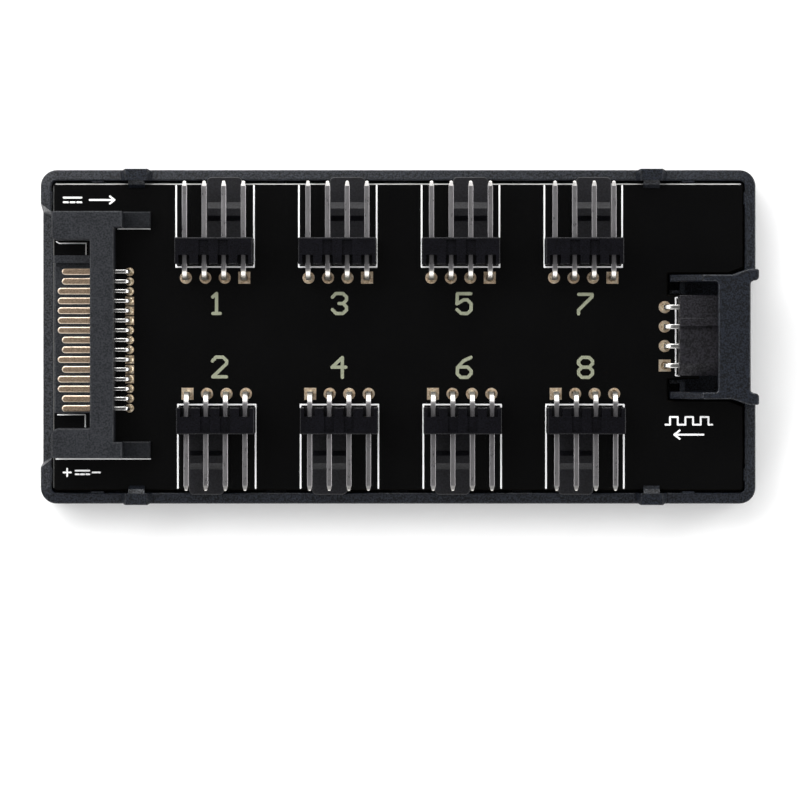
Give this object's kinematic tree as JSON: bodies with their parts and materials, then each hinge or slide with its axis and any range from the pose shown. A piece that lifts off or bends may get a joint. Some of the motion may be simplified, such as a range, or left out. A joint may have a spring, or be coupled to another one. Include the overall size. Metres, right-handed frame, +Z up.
{
  "type": "pc fan hub",
  "caption": "Shallow black tray holding a circuit board with rows of right-angle fan headers on both long sides, a multi-contact power plug at one end and a hooded control socket at the other.",
  "frame": {"origin": "middle of the tray's flat underside", "axes": "+X along the length towards the control socket, +Y across towards the odd-numbered fan headers, +Z up out of the board"},
  "size_m": [0.0932, 0.0438, 0.0125],
  "materials": {
    "tray_plastic": "fine spark-eroded moulded texture, black",
    "board": "black solder mask over glass-epoxy board",
    "gold_plate": "thin gold plating on copper",
    "solder": "bright tin solder",
    "plug_plastic": "dark grey glass-filled moulding, satin",
    "contact_gold": "gold flash on stamped copper alloy",
    "header_plastic": "black moulded nylon, low sheen",
    "tinned_pin": "drawn square wire, bright tin plate"
  },
  "bodies": {
    "root": {"tray_floor": "tray_plastic", "tray_walls": "tray_plastic", "board_rests": "tray_plastic", "snap_clips": "tray_plastic", "control_bridge": "tray_plastic", "circuit_board": "board", "plated_pads": "gold_plate", "solder_joints": "solder", "power_plug_housing": "plug_plastic", "power_terminals": "contact_gold", "control_socket": "header_plastic", "control_contacts": "tinned_pin", "fan_header_1": "header_plastic", "fan_pins_1": "tinned_pin", "fan_header_2": "header_plastic", "fan_pins_2": "tinned_pin", "fan_header_3": "header_plastic", "fan_pins_3": "tinned_pin", "fan_header_4": "header_plastic", "fan_pins_4": "tinned_pin", "fan_header_5": "header_plastic", "fan_pins_5": "tinned_pin", "fan_header_6": "header_plastic", "fan_pins_6": "tinned_pin", "fan_header_7": "header_plastic", "fan_pins_7": "tinned_pin", "fan_header_8": "header_plastic", "fan_pins_8": "tinned_pin"}
  },
  "joints": []
}
